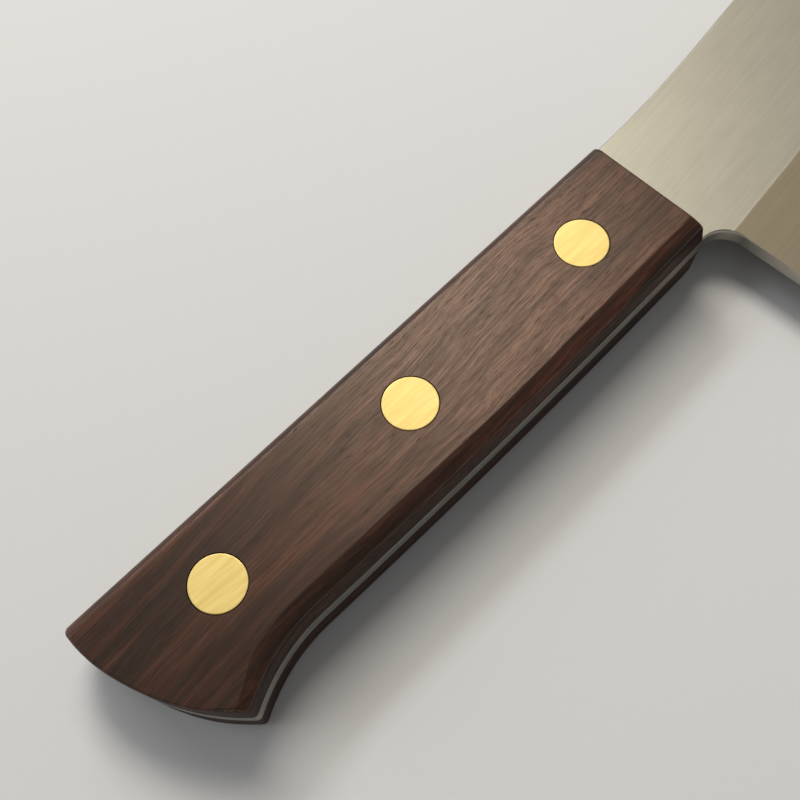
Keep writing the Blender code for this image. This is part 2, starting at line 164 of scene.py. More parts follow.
class Bench:
    """Plain workshop moves on the active mesh, each one an operator or two."""

    @staticmethod
    def clear() -> None:
        """Deselect every object."""
        bpy.ops.object.select_all(action="DESELECT")

    @staticmethod
    def take(piece: Piece) -> None:
        """Make one object the active one and the only one selected.

        Args:
            piece: The object.
        """
        Bench.clear()
        piece.select_set(True)
        bpy.context.view_layer.objects.active = piece

    @staticmethod
    def open(piece: Piece, mode: str = "VERT") -> None:
        """Take an object into edit mode with one kind of element to select.

        Args:
            piece: The object.
            mode: VERT, EDGE or FACE.
        """
        Bench.take(piece)
        bpy.ops.object.mode_set(mode="EDIT")
        bpy.ops.mesh.select_mode(type=mode)

    @staticmethod
    def close() -> None:
        """Go back to object mode."""
        bpy.ops.object.mode_set(mode="OBJECT")

    @staticmethod
    def pick(piece: Piece, mode: str, test: Callable[..., bool]) -> None:
        """Select the elements of one kind of the open mesh that pass a test.

        Args:
            piece: The object in edit mode.
            mode: VERT, EDGE or FACE.
            test: Says whether an element is wanted. It gets a point's place, an edge's two ends
                or a face's middle and normal.
        """
        Bench.close()
        mesh = piece.data
        places = [point.co.copy() for point in mesh.vertices]
        kinds = {
            "VERT": (mesh.vertices, [(place,) for place in places]),
            "EDGE": (mesh.edges, [tuple(places[end] for end in edge.vertices) for edge in mesh.edges]),
            "FACE": (mesh.polygons, [(face.center, face.normal) for face in mesh.polygons]),
        }
        for kind, (elements, traits) in kinds.items():
            elements.foreach_set("select", [kind == mode and test(*trait) for trait in traits])
        Bench.open(piece, mode)

    @staticmethod
    def fix_place() -> None:
        """Write the active object's place, turn and size into its mesh."""
        bpy.ops.object.transform_apply(location=True, rotation=True, scale=True)

    @staticmethod
    def scale(x: float, y: float, z: float, about: Vector) -> None:
        """Scale what is selected about a point."""
        bpy.ops.transform.resize(value=(x, y, z), center_override=tuple(about))

    @staticmethod
    def pull(
        piece: Piece,
        belongs: Callable[[Vector], bool],
        held: Callable[[Vector], bool],
        step: Vector,
        reach: float,
    ) -> None:
        """Pull some points of a line by a flat step, and their neighbours on it less and less.

        Args:
            piece: The object in edit mode.
            belongs: Says whether a point is on the line.
            held: Says whether a point of the line makes the whole step.
            step: The step.
            reach: How far from the held points the pull is felt.
        """
        Bench.pick(piece, "VERT", belongs)
        bpy.ops.mesh.hide(unselected=True)
        Bench.pick(piece, "VERT", lambda at: belongs(at) and held(at))
        bpy.ops.transform.translate(
            value=(step.x, step.y, 0.0), use_proportional_edit=True,
            proportional_edit_falloff="SMOOTH", proportional_size=reach,
        )
        bpy.ops.mesh.reveal(select=False)

    @staticmethod
    def raise_wall(height: float) -> None:
        """Extrude what is selected straight up."""
        bpy.ops.mesh.extrude_region_move(TRANSFORM_OT_translate={"value": (0.0, 0.0, height)})

    @staticmethod
    def tidy_normals() -> None:
        """Merge double points, then turn every face outwards."""
        bpy.ops.mesh.select_all(action="SELECT")
        bpy.ops.mesh.remove_doubles(threshold=WELD)
        bpy.ops.mesh.normals_make_consistent(inside=False)

    @staticmethod
    def turn_over() -> None:
        """Mirror the open mesh through the middle of the steel, from the right side to the left."""
        bpy.ops.mesh.select_all(action="SELECT")
        Bench.scale(1.0, 1.0, -1.0, Vector((0.0, 0.0, 0.0)))
        Bench.tidy_normals()

    @staticmethod
    def drill(piece: Piece, middle: Vector, radius: float, depth: float, sides: int) -> None:
        """Cut an upright round hole with a Boolean that is applied at once.

        Args:
            piece: The object that is drilled.
            middle: The middle of the drill.
            radius: The hole's radius.
            depth: The drill's length.
            sides: How many sides the hole has.
        """
        Bench.clear()
        bpy.ops.mesh.primitive_cylinder_add(
            vertices=sides, radius=radius, depth=depth, location=tuple(middle)
        )
        cutter = bpy.context.object
        Bench.take(piece)
        cut = piece.modifiers.new("drill", "BOOLEAN")
        cut.operation = "DIFFERENCE"
        cut.solver = "EXACT"
        cut.object = cutter
        bpy.ops.object.modifier_apply(modifier=cut.name)
        bpy.data.objects.remove(cutter)

    @staticmethod
    def finish(piece: Piece, finish: Finish) -> None:
        """Shade a piece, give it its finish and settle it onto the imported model.

        Args:
            piece: The object, drawn in the drawing frame.
            finish: The material that it gets.
        """
        Bench.take(piece)
        bpy.ops.object.shade_smooth_by_angle(angle=SMOOTH_ANGLE)
        weigh = piece.modifiers.new("weigh_normals", "WEIGHTED_NORMAL")
        weigh.keep_sharp = True
        weigh.weight = 100
        bpy.ops.object.modifier_apply(modifier=weigh.name)
        piece.location = ORIGIN
        Bench.fix_place()
        piece.data.materials.clear()
        piece.data.materials.append(finish)

    @staticmethod
    def dress_sides(piece: Piece, finish: Finish, steepness: float) -> None:
        """Give a finished piece's steep faces a finish of their own.

        Args:
            piece: The finished piece.
            finish: The material that its sides get.
            steepness: How far from level a face is tilted to count as a side.
        """
        piece.data.materials.append(finish)
        Bench.open(piece, "FACE")
        Bench.pick(piece, "FACE", lambda middle, normal: abs(normal.z) < math.cos(steepness))
        piece.active_material_index = len(piece.data.materials) - 1
        bpy.ops.object.material_slot_assign()
        Bench.close()


class Pen:
    """Draws a closed outline in edit mode, stroke by stroke, as on a drawing board."""

    SEED_SIZE = 0.001

    def __init__(self, name: str, start: Vector, height: float) -> None:
        """Put the pen down.

        Args:
            name: The name of the object that is drawn.
            start: The outline's first point.
            height: The height that the outline is drawn at.
        """
        Bench.clear()
        bpy.ops.mesh.primitive_plane_add(size=self.SEED_SIZE, location=(start.x, start.y, height))
        Bench.fix_place()
        self.piece = bpy.context.object
        self.piece.name = name
        self.piece.data.name = name
        self.height = height
        self.at = start.copy()
        Bench.open(self.piece, "VERT")
        bpy.ops.mesh.merge(type="CENTER")

    def line(self, end: Vector) -> None:
        """Draw a straight stroke to a point.

        Args:
            end: The stroke's end.
        """
        step = end - self.at
        bpy.ops.mesh.extrude_vertices_move(TRANSFORM_OT_translate={"value": (step.x, step.y, 0.0)})
        self.at = end.copy()

    def arc(self, centre: Vector, end_angle: float, clockwise: bool, steps: int) -> None:
        """Draw an arc about a centre, as far as an angle.

        Args:
            centre: The arc's centre.
            end_angle: The direction from the centre to the arc's end.
            clockwise: Which way the arc turns.
            steps: How many chords the arc has.
        """
        spoke = self.at - centre
        turn = (end_angle - angle_of(spoke)) % math.tau
        if clockwise:
            turn -= math.tau
        bpy.ops.mesh.spin(
            steps=steps, angle=-turn, use_auto_merge=False,
            center=(centre.x, centre.y, self.height), axis=(0.0, 0.0, 1.0),
        )
        self.at = centre + polar(spoke.length, angle_of(spoke) + turn)

    def close(self) -> Piece:
        """Close the outline, fill it and return the object, still in edit mode.

        Returns:
            The object that was drawn.
        """
        bpy.ops.mesh.select_all(action="SELECT")
        bpy.ops.mesh.remove_doubles(threshold=WELD)
        bpy.ops.mesh.edge_face_add()
        return self.piece


@dataclass(frozen=True)
class HandleShape:
    """The outline that the tang and both scales share, seen from the right side."""

    spine_height: float = 0.0135
    belly_depth: float = 0.01365
    belly_lowest_at: float = 0.0080
    belly_radius: float = 1.800
    flare_start: float = -0.0330
    flare_radius: float = 0.0335
    butt_centre: Pair = (-0.0250, 0.0106)
    butt_radius: float = 0.038198
    corner_radius: float = 0.0010
    front_corner_radius: float = 0.0005
    steel_thickness: float = 0.0032
    scale_outer: float = 0.0081
    rivet_pitch: float = 0.0415
    front_x: float = 0.0600613
    belly_steps: int = 24
    butt_steps: int = 36
    flare_steps: int = 20
    corner_steps: int = 6

    @property
    def belly_centre(self) -> Vector:
        """Return the centre of the belly's long curve."""
        return Vector((self.belly_lowest_at, self.belly_radius - self.belly_depth))

    def rivet_axis(self, station: Station) -> Vector:
        """Return where a rivet's axis crosses the middle of the steel."""
        return Vector((station.value * self.rivet_pitch, 0.0, 0.0))

    def belly_corner(self, radius: float) -> Vector:
        """Return the centre of the corner between the belly and the front end.

        Args:
            radius: The corner's radius.

        Returns:
            The centre as a flat point.
        """
        x = self.front_x - radius
        drop = math.sqrt((self.belly_radius - radius) ** 2 - (x - self.belly_lowest_at) ** 2)
        return Vector((x, self.belly_centre.y - drop))

    def draw_rear(self, pen: Pen) -> None:
        """Draw the top rear corner, the butt, its beak and the flare up to the belly.

        Args:
            pen: A pen that stands on the spine line, ahead of the corner.
        """
        corner = self.corner_radius
        butt = Vector(self.butt_centre)
        rise = self.spine_height - corner - butt.y
        reach = math.sqrt((self.butt_radius - corner) ** 2 - rise ** 2)
        top = Vector((butt.x - reach, self.spine_height - corner))

        way = self.flare_start - self.belly_lowest_at
        drop = math.sqrt(self.belly_radius ** 2 - way ** 2)
        outward = Vector((way, -drop)) / self.belly_radius
        flare = self.belly_centre + outward * (self.belly_radius + self.flare_radius)
        beak = circle_crossing(flare, self.flare_radius + corner, butt, self.butt_radius - corner)

        pen.line(Vector((top.x, self.spine_height)))
        pen.arc(top, angle_of(top - butt), False, self.corner_steps)
        pen.arc(butt, angle_of(beak - butt), False, self.butt_steps)
        pen.arc(beak, angle_of(flare - beak), False, self.corner_steps)
        pen.arc(flare, angle_of(-outward), True, self.flare_steps)


@dataclass(frozen=True)
class Scale:
    """One wooden scale, with its leaning spine side, its facet and its rivet seats."""

    shape: HandleShape
    side: Side
    inner: float = 0.00162
    front_slant: float = math.radians(15.0)
    spine_lean: float = math.radians(17.0)
    spine_roll: float = 0.0050
    spine_rounding: float = 0.0024
    roll_tilt: float = math.radians(4.0)
    butt_rounding: float = 0.0006
    front_rounding: float = 0.0002
    belly_corner: float = 0.0010
    facet_width: float = 0.00335
    crease_dip: float = 0.00045
    crease_dip_at: float = 0.0110
    crease_dip_half_length: float = 0.0028
    crease_dip_reach: float = 0.0280
    beak_step: Pair = (-0.0012, -0.0023)
    beak_size: float = 0.0014
    butt_reach: float = 0.0230
    flare_share: float = 0.8
    flare_reach: float = 0.0045
    crease_tilt: float = math.radians(8.0)
    facet_end_tilt: float = math.radians(24.0)
    facet_steps: int = 5
    front_reach: float = 0.00075
    support: float = 0.00018
    rounding_steps: int = 8
    seat_radius: float = 0.00490
    seat_depth: float = 0.00225
    hole_radius: float = 0.00320
    rivet_sides: int = 96

    def build(self) -> Piece:
        """Build the scale in the drawing frame.

        Returns:
            The scale's object, with its seats cut.
        """
        piece = self.draw_outline()
        self.raise_wall(piece)
        self.round_over(piece)
        Bench.close()
        self.cut_seats(piece)
        if self.side is Side.LEFT:
            Bench.open(piece)
            Bench.turn_over()
            Bench.close()
        return piece

    def draw_outline(self) -> Piece:
        """Draw the scale's outline where it lies on the tang, and return it in edit mode.

        Returns:
            The filled outline.
        """
        shape = self.shape
        corner = shape.front_corner_radius
        start = Vector((shape.front_x, shape.spine_height - corner))
        pen = Pen(self.side.word + "_wood", start, self.inner)
        pen.arc(start - Vector((corner, 0.0)), math.pi / 2, False, shape.corner_steps)
        shape.draw_rear(pen)
        belly_corner = shape.belly_corner(corner)
        pen.arc(shape.belly_centre, angle_of(belly_corner - shape.belly_centre), False, shape.belly_steps)
        pen.arc(belly_corner, 0.0, False, shape.corner_steps)
        return pen.close()

    def draw_in(
        self, piece: Piece, spine: float, belly: float, butt: float, front: float,
        dip: float = 0.0,
    ) -> None:
        """Draw the top ring of the open scale in on each side.

        Args:
            piece: The scale in edit mode.
            spine: How far the spine side moves down.
            belly: How far the belly side moves up.
            butt: How far the butt moves forward.
            front: How far the front end moves back.
            dip: How far the middle of the belly side is pulled back down.
        """
        shape = self.shape
        top = max(point.co.z for point in self.mesh_points(piece))
        rivet_line = Vector((0.0, 0.0, top))
        rear = Vector((-shape.rivet_pitch, 0.0, top))
        reach = shape.butt_radius - shape.butt_centre[0] - shape.rivet_pitch
        front_edge = max(point.co.x for point in self.mesh_points(piece) if self.on_top(point.co, top))
        moves = (
            (
                lambda at: at.y > 0.0,
                lambda: Bench.scale(1.0, 1.0 - spine / shape.spine_height, 1.0, rivet_line),
            ),
            (
                lambda at: at.y < 0.0,
                lambda: Bench.scale(1.0, 1.0 - belly / shape.belly_depth, 1.0, rivet_line),
            ),
            (lambda at: at.x < rear.x, lambda: Bench.scale(1.0 - butt / reach, 1.0, 1.0, rear)),
            (
                lambda at: at.x > front_edge - self.front_reach,
                lambda: bpy.ops.transform.translate(value=(-front, 0.0, 0.0)),
            ),
        )
        for belongs, move in moves:
            Bench.pick(piece, "VERT", lambda at: self.on_top(at, top) and belongs(at))
            move()
        if belly > 0.0:
            self.set_back_beak(piece, top, belly / self.facet_width)
        if dip > 0.0:
            Bench.pull(
                piece,
                lambda at: self.on_top(at, top) and at.y < 0.0,
                lambda at: abs(at.x - self.crease_dip_at) < self.crease_dip_half_length,
                Vector((0.0, -dip)), self.crease_dip_reach,
            )
        Bench.pick(piece, "FACE", lambda middle, normal: self.on_top(middle, top) and is_level(normal))

    def set_back_beak(self, piece: Piece, top: float, share: float) -> None:
        """Slide the top ring's beak back along the butt, so that the facet ends at the butt.

        Args:
            piece: The scale in edit mode.
            top: The ring's height.
            share: This ring's share of the whole facet.
        """
        butt = Vector(self.shape.butt_centre)
        step = Vector(self.beak_step) * share
        ring = [point.co for point in self.mesh_points(piece) if self.on_top(point.co, top)]
        beak = Vector(min(ring, key=lambda at: at.y).xy)
        turn = angle_of(beak - butt)

        def in_beak(at: Vector) -> bool:
            """Return whether a place is at the beak's rounded corner."""
            return (Vector(at.xy) - beak).length < self.beak_size

        def on_butt(at: Vector) -> bool:
            """Return whether a place is on the ring's beak or butt."""
            return self.on_top(at, top) and (in_beak(at) or angle_of(Vector(at.xy) - butt) < turn)

        def on_flare(at: Vector) -> bool:
            """Return whether a place is on the ring's flare."""
            return self.on_top(at, top) and at.y < 0.0 and not on_butt(at)

        near = min((Vector(at.xy) - beak).length for at in ring if on_flare(at))
        Bench.pull(piece, on_butt, in_beak, step, self.butt_reach)
        Bench.pull(
            piece, on_flare, lambda at: (Vector(at.xy) - beak).length < near + WELD,
            step * self.flare_share, self.flare_reach,
        )

    @staticmethod
    def mesh_points(piece: Piece) -> Iterable[bpy.types.MeshVertex]:
        """Return the open mesh's points as they stand now."""
        piece.update_from_editmode()
        return piece.data.vertices

    @staticmethod
    def on_top(at: Vector, top: float) -> bool:
        """Return whether a place is at the top ring's height."""
        return at.z > top - WELD

    def raise_wall(self, piece: Piece) -> None:
        """Raise the scale's sides, with the spine leaning and the front end slanting.

        Args:
            piece: The scale's outline in edit mode.
        """
        height = self.shape.scale_outer - self.inner - self.belly_section()[-1][0]
        Bench.raise_wall(height)
        self.draw_in(piece, height * math.tan(self.spine_lean), 0.0, 0.0, height * math.tan(self.front_slant))

    def belly_section(self) -> list[Triple]:
        """Return the belly's section from the top of its wall to the crease in the face.

        Returns:
            Heights above the wall's top, each with how far the belly is drawn in there and how
            far its middle is pulled back down.
        """
        rings: list[Triple] = []
        for step in range(1, self.rounding_steps + 1):
            turn = (math.pi / 2 - self.facet_end_tilt) * step / self.rounding_steps
            rise, inset = self.belly_corner * math.sin(turn), self.belly_corner * (1.0 - math.cos(turn))
            rings.append((rise, inset, 0.0))
        height, start, _ = rings[-1]
        inset = start
        shares = [step / self.facet_steps for step in range(1, self.facet_steps)]
        for share in [*shares, 1.0 - self.support / self.facet_width, 1.0]:
            reached = start + (self.facet_width - start) * share
            tilt = self.facet_end_tilt + (self.crease_tilt - self.facet_end_tilt) * share
            height += (reached - inset) * math.tan(tilt)
            inset = reached
            rings.append((height, inset, self.crease_dip * share))
        return rings

    def round_over(self, piece: Piece) -> None:
        """Round the sides into the face, and cut the long facet along the belly.

        Args:
            piece: The scale in edit mode, with its sides raised.
        """
        rings = self.belly_section()
        rise = rings[-1][0]
        spine_side = (self.spine_roll, self.spine_rounding, self.spine_lean)
        butt_side = (self.butt_rounding, self.butt_rounding, 0.0)
        front_side = (self.front_rounding, self.front_rounding, self.front_slant)

        before = (0.0, 0.0, 0.0, 0.0, 0.0, 0.0)
        for height, belly, dip in rings:
            spine, butt, front = (
                self.outward(rise, *side) - self.outward(rise - height, *side)
                for side in (spine_side, butt_side, front_side)
            )
            now = (height, spine, belly, butt, front, dip)
            step_up, *steps_in = (new - old for new, old in zip(now, before))
            Bench.raise_wall(step_up)
            self.draw_in(piece, *steps_in)
            before = now
        bpy.ops.mesh.inset(thickness=self.support, depth=0.0)
        Bench.tidy_normals()

    def outward(self, depth: float, roll: float, radius: float, lean: float) -> float:
        """Return how far a side stands out from the face's border at a depth below the face.

        Args:
            depth: The depth below the face.
            roll: The radius of the gentle roll next to the face.
            radius: The radius of the rounding that follows it.
            lean: The lean of the side below the rounding, from upright.

        Returns:
            The distance out from the border of the face.
        """
        roll_depth = roll * (1.0 - math.cos(self.roll_tilt))
        if depth <= roll_depth:
            return math.sqrt(max(0.0, 2.0 * roll * depth - depth ** 2))
        roll_width = roll * math.sin(self.roll_tilt)
        steep = math.cos(self.roll_tilt) - (depth - roll_depth) / radius
        if steep > math.sin(lean):
            return roll_width + radius * (math.sqrt(1.0 - steep ** 2) - math.sin(self.roll_tilt))
        round_width = roll_width + radius * (math.cos(lean) - math.sin(self.roll_tilt))
        round_depth = roll_depth + radius * (math.cos(self.roll_tilt) - math.sin(lean))
        return round_width + (depth - round_depth) * math.tan(lean)

    def cut_seats(self, piece: Piece) -> None:
        """Bore the scale for its three rivets and sink a seat for each head.

        Args:
            piece: The scale in object mode.
        """
        outer = self.shape.scale_outer
        for station in Station:
            axis = self.shape.rivet_axis(station)
            Bench.drill(piece, axis, self.hole_radius, 4 * outer, self.rivet_sides)
            Bench.drill(piece, axis + UP * outer, self.seat_radius, 2 * self.seat_depth, self.rivet_sides)


@dataclass(frozen=True)
class Blade:
    """The blade, its neck and its full tang, as one plate of ground steel."""

    shape: HandleShape
    spine_sweep_radius: float = 0.300
    spine_sweep_start: float = 0.0050
    spine_slope: float = math.radians(7.5)
    slope: float = math.radians(5.7)
    length: float = 0.2139
    flat_height_at_heel: float = 0.0292
    grind_height: float = 0.06799
    grind_edge_thickness: float = 0.0005
    edge_bevel_height: float = 0.0015
    edge_thickness: float = 0.00010
    edge_curve_radius: float = 2.290
    tip_top_radius: float = 0.01215
    tip_bottom_radius: float = 0.004
    neck_length: float = 0.0051
    neck_fillet_radius: float = 0.0051
    heel_lean: float = math.radians(2.0)
    eased_edge: float = 0.00042
    eased_steps: int = 4
    flush_edge: float = 0.00006
    grind_line_softness: float = 0.0004
    grind_line_steps: int = 3
    grind_line_reach: float = 0.0001
    edge_facing: float = 0.12
    hole_radius: float = 0.0033
    hole_sides: int = 48
    sweep_steps: int = 24
    edge_steps: int = 64
    corner_steps: int = 16

    @property
    def heel_x(self) -> float:
        """Return how far along the handle's axis the heel lies."""
        return self.shape.front_x + self.neck_length

    @property
    def forward(self) -> Vector:
        """Return the direction of the grind line towards the tip."""
        return polar(1.0, self.slope)

    @property
    def edgeward(self) -> Vector:
        """Return the direction square to the grind line, towards the cutting edge."""
        return polar(1.0, self.slope - math.pi / 2)

    def point(self, along: float, below: float) -> Vector:
        """Return a point by its way along the grind line from the heel and below that line."""
        start = Vector((self.heel_x, self.shape.spine_height - self.flat_height_at_heel))
        return start + self.forward * along + self.edgeward * below

    @property
    def edge_centre(self) -> Vector:
        """Return the centre of the cutting edge's long curve."""
        return self.point(self.length / 2, self.grind_height - self.edge_curve_radius)

    def build(self) -> Piece:
        """Build the blade in the drawing frame.

        Returns:
            The blade's object, ground, sharpened and drilled.
        """
        piece = self.draw_outline()
        Bench.raise_wall(self.shape.steel_thickness)
        Bench.tidy_normals()
        self.ease_edges(piece)
        self.grind(piece)
        self.sharpen(piece)
        Bench.close()
        for station in Station:
            axis = self.shape.rivet_axis(station)
            Bench.drill(piece, axis, self.hole_radius, 4 * self.shape.steel_thickness, self.hole_sides)
        return piece

    def draw_outline(self) -> Piece:
        """Draw the plate's outline on its left face, and return it in edit mode.

        Returns:
            The filled outline, which stops short of the cutting edge by the final bevel.
        """
        shape = self.shape
        radius = self.edge_curve_radius - self.edge_bevel_height
        centre = self.edge_centre
        sweep_end = Vector((shape.front_x - self.spine_sweep_start, shape.spine_height))
        sweep_centre = sweep_end + Vector((0.0, self.spine_sweep_radius))
        sweep_start = sweep_centre + polar(self.spine_sweep_radius, self.spine_slope - math.pi / 2)
        spine_way = polar(1.0, self.spine_slope)
        tip_top = line_crossing(sweep_start, spine_way, self.point(self.length, 0.0), self.edgeward)
        along = self.length / 2
        tip_bottom = centre + self.forward * along + self.edgeward * math.sqrt(radius ** 2 - along ** 2)

        pen = Pen("ground_blade", sweep_start, -shape.steel_thickness / 2)
        handle_end = 1.5 * math.pi + math.asin(self.spine_sweep_start / self.spine_sweep_radius)
        pen.arc(sweep_centre, handle_end, True, self.sweep_steps)
        pen.arc(sweep_centre, 1.5 * math.pi, True, self.shape.corner_steps)
        shape.draw_rear(pen)
        neck = shape.belly_corner(0.0)
        pen.arc(shape.belly_centre, angle_of(neck - shape.belly_centre), False, shape.belly_steps)

        heel_way = polar(1.0, self.heel_lean - math.pi / 2)
        heel_top = Vector((self.heel_x, neck.y))
        self.round_corner(pen, neck, heel_top, heel_top + heel_way, self.neck_fillet_radius, True)
        middle = (heel_top - centre).dot(heel_way)
        reach = math.sqrt(middle ** 2 - (heel_top - centre).length_squared + radius ** 2) - middle
        heel_bottom = heel_top + heel_way * reach
        pen.line(heel_bottom)
        tip_turn = angle_of(tip_bottom - centre) - self.tip_bottom_radius / radius
        pen.arc(centre, tip_turn, False, self.edge_steps)
        before = tip_bottom - polar(1.0, angle_of(tip_bottom - centre) + math.pi / 2)
        self.round_corner(pen, before, tip_bottom, tip_top, self.tip_bottom_radius, False)
        self.round_corner(pen, tip_bottom, tip_top, sweep_start, self.tip_top_radius, False)
        return pen.close()

    def round_corner(
        self, pen: Pen, before: Vector, corner: Vector, after: Vector, radius: float, clockwise: bool
    ) -> None:
        """Draw a straight stroke to a corner and round it.

        Args:
            pen: The pen, somewhere on the side before the corner.
            before: A point on the side before the corner.
            corner: Where the two sides would meet.
            after: A point on the side after the corner.
            radius: The rounding's radius.
            clockwise: Which way the corner turns.
        """
        back = (before - corner).normalized()
        ahead = (after - corner).normalized()
        half = back.angle(ahead) / 2
        centre = corner + (back + ahead).normalized() * (radius / math.sin(half))
        start = corner + back * (radius / math.tan(half))
        end = corner + ahead * (radius / math.tan(half))
        if (start - pen.at).length > WELD:
            pen.line(start)
        pen.arc(centre, angle_of(end - centre), clockwise, self.corner_steps)

    def ease_edges(self, piece: Piece) -> None:
        """Round the blade's outline on both faces, and hardly touch the tang.

        The tang is flush with the wood, so its edges stay almost sharp.

        Args:
            piece: The plate in edit mode.
        """
        half = self.shape.steel_thickness / 2

        def on_rim(a: Vector, b: Vector) -> bool:
            """Return whether an edge runs along the border of a face."""
            return abs(abs(a.z) - half) < WELD and abs(a.z - b.z) < WELD

        def on_blade(a: Vector, b: Vector) -> bool:
            """Return whether an edge lies ahead of the handle."""
            return min(a.x, b.x) > self.shape.front_x - WELD

        Bench.pick(piece, "EDGE", lambda a, b: on_rim(a, b) and not on_blade(a, b))
        bpy.ops.mesh.bevel(offset=self.flush_edge, segments=1, profile=0.5, clamp_overlap=False)
        Bench.pick(piece, "EDGE", lambda a, b: on_rim(a, b) and on_blade(a, b))
        bpy.ops.mesh.bevel(
            offset=self.eased_edge, segments=self.eased_steps, profile=0.5, clamp_overlap=False
        )

    def grind(self, piece: Piece) -> None:
        """Grind both sides down from the grind line towards the cutting edge.

        Args:
            piece: The plate in edit mode.
        """
        half = self.shape.steel_thickness / 2
        taper = math.atan((half - self.grind_edge_thickness / 2) / self.grind_height)
        start = self.point(0.0, 0.0)
        normal = self.edgeward * math.sin(taper)
        for side in Side:
            bpy.ops.mesh.select_all(action="SELECT")
            bpy.ops.mesh.bisect(
                plane_co=(start.x, start.y, side.value * half),
                plane_no=(normal.x, normal.y, side.value * math.cos(taper)),
                use_fill=True, clear_outer=True, threshold=0.1 * WELD,
            )
        Bench.tidy_normals()

        def on_grind_line(a: Vector, b: Vector) -> bool:
            """Return whether an edge follows the line where the grind starts.

            Args:
                a: One end.
                b: The other end.

            Returns:
                Whether both ends are on the line.
            """
            return all(
                abs(abs(end.z) - half) < 2 * WELD
                and abs((Vector(end.xy) - start).dot(self.edgeward)) < self.grind_line_reach
                for end in (a, b)
            )

        Bench.pick(piece, "EDGE", on_grind_line)
        bpy.ops.mesh.bevel(offset=self.grind_line_softness, segments=self.grind_line_steps, profile=0.5)

    def sharpen(self, piece: Piece) -> None:
        """Draw the edge out to its full length and pinch it into the final bevel.

        Args:
            piece: The ground plate in edit mode.
        """
        centre = self.edge_centre
        radius = self.edge_curve_radius - self.edge_bevel_height

        def on_edge(middle: Vector, normal: Vector) -> bool:
            """Return whether a face of the plate's rim looks towards the cutting edge.

            Args:
                middle: The face's middle.
                normal: The face's normal.

            Returns:
                Whether the face is drawn out with the edge.
            """
            spoke = Vector(middle.xy) - centre
            outwards = Vector(normal.xy).dot(spoke.normalized())
            return outwards > self.edge_facing and spoke.length > radius - 1.1 * self.tip_bottom_radius

        Bench.pick(piece, "FACE", on_edge)
        Bench.raise_wall(0.0)
        grow = self.edge_curve_radius / radius
        pinch = self.edge_thickness / self.grind_edge_thickness
        Bench.scale(grow, grow, pinch, Vector((centre.x, centre.y, 0.0)))
        Bench.tidy_normals()


@dataclass(frozen=True)
class RivetHalf:
    """One half of a pressed rivet: a flush head with a solid shank or a tube behind it."""

    shape: HandleShape
    half: Half
    head_radius: float = 0.00475
    head_thickness: float = 0.0022
    post_radius: float = 0.0019
    tube_radius: float = 0.0030
    bore_radius: float = 0.00195
    bore_floor: float = 0.0009
    end_gap: float = 0.00005
    rim: float = 0.00012
    rim_steps: int = 2
    sides: int = 96

    def build(self) -> Piece:
        """Build the half at the middle station, in the drawing frame.

        Returns:
            The half's object, with its head on the side that it belongs to.
        """
        outer = self.shape.scale_outer
        inner = outer - self.head_thickness
        Bench.clear()
        bpy.ops.mesh.primitive_cylinder_add(
            vertices=self.sides, radius=self.head_radius, depth=self.head_thickness,
            location=(0.0, 0.0, (outer + inner) / 2),
        )
        Bench.fix_place()
        piece = bpy.context.object
        piece.name = Station.MIDDLE.word + "_" + self.half.word
        piece.data.name = piece.name
        Bench.open(piece, "FACE")

        shank = self.post_radius if self.half is Half.POST else self.tube_radius
        far_end = self.bore_floor - inner if self.half is Half.POST else -inner
        reach = inner - far_end - self.end_gap
        Bench.pick(piece, "FACE", lambda middle, normal: is_level(normal) and normal.z < 0.0)
        bpy.ops.mesh.inset(thickness=self.head_radius - shank, depth=0.0)
        Bench.raise_wall(-reach)
        if self.half is Half.SOCKET:
            bpy.ops.mesh.inset(thickness=shank - self.bore_radius, depth=0.0)
            Bench.raise_wall(reach - self.bore_floor)

        Bench.pick(piece, "EDGE", lambda a, b: min(a.z, b.z) > outer - WELD)
        bpy.ops.mesh.bevel(offset=self.rim, segments=self.rim_steps, profile=0.5)
        Bench.pick(piece, "FACE", lambda middle, normal: middle.z > outer - WELD)
        bpy.ops.mesh.inset(thickness=self.rim, depth=0.0)
        Bench.tidy_normals()
        if self.half.value is Side.LEFT:
            Bench.turn_over()
        Bench.close()
        return piece

    def copy_to(self, piece: Piece, station: Station) -> Piece:
        """Return a copy of the half, with a mesh of its own, at another station.

        Args:
            piece: The finished half at the middle station.
            station: Where the copy goes.

        Returns:
            The copy, with its place in its mesh.
        """
        Bench.take(piece)
        bpy.ops.object.duplicate(linked=False)
        twin = bpy.context.object
        twin.name = station.word + "_" + self.half.word
        twin.data.name = twin.name
        twin.location = self.shape.rivet_axis(station)
        Bench.fix_place()
        return twin


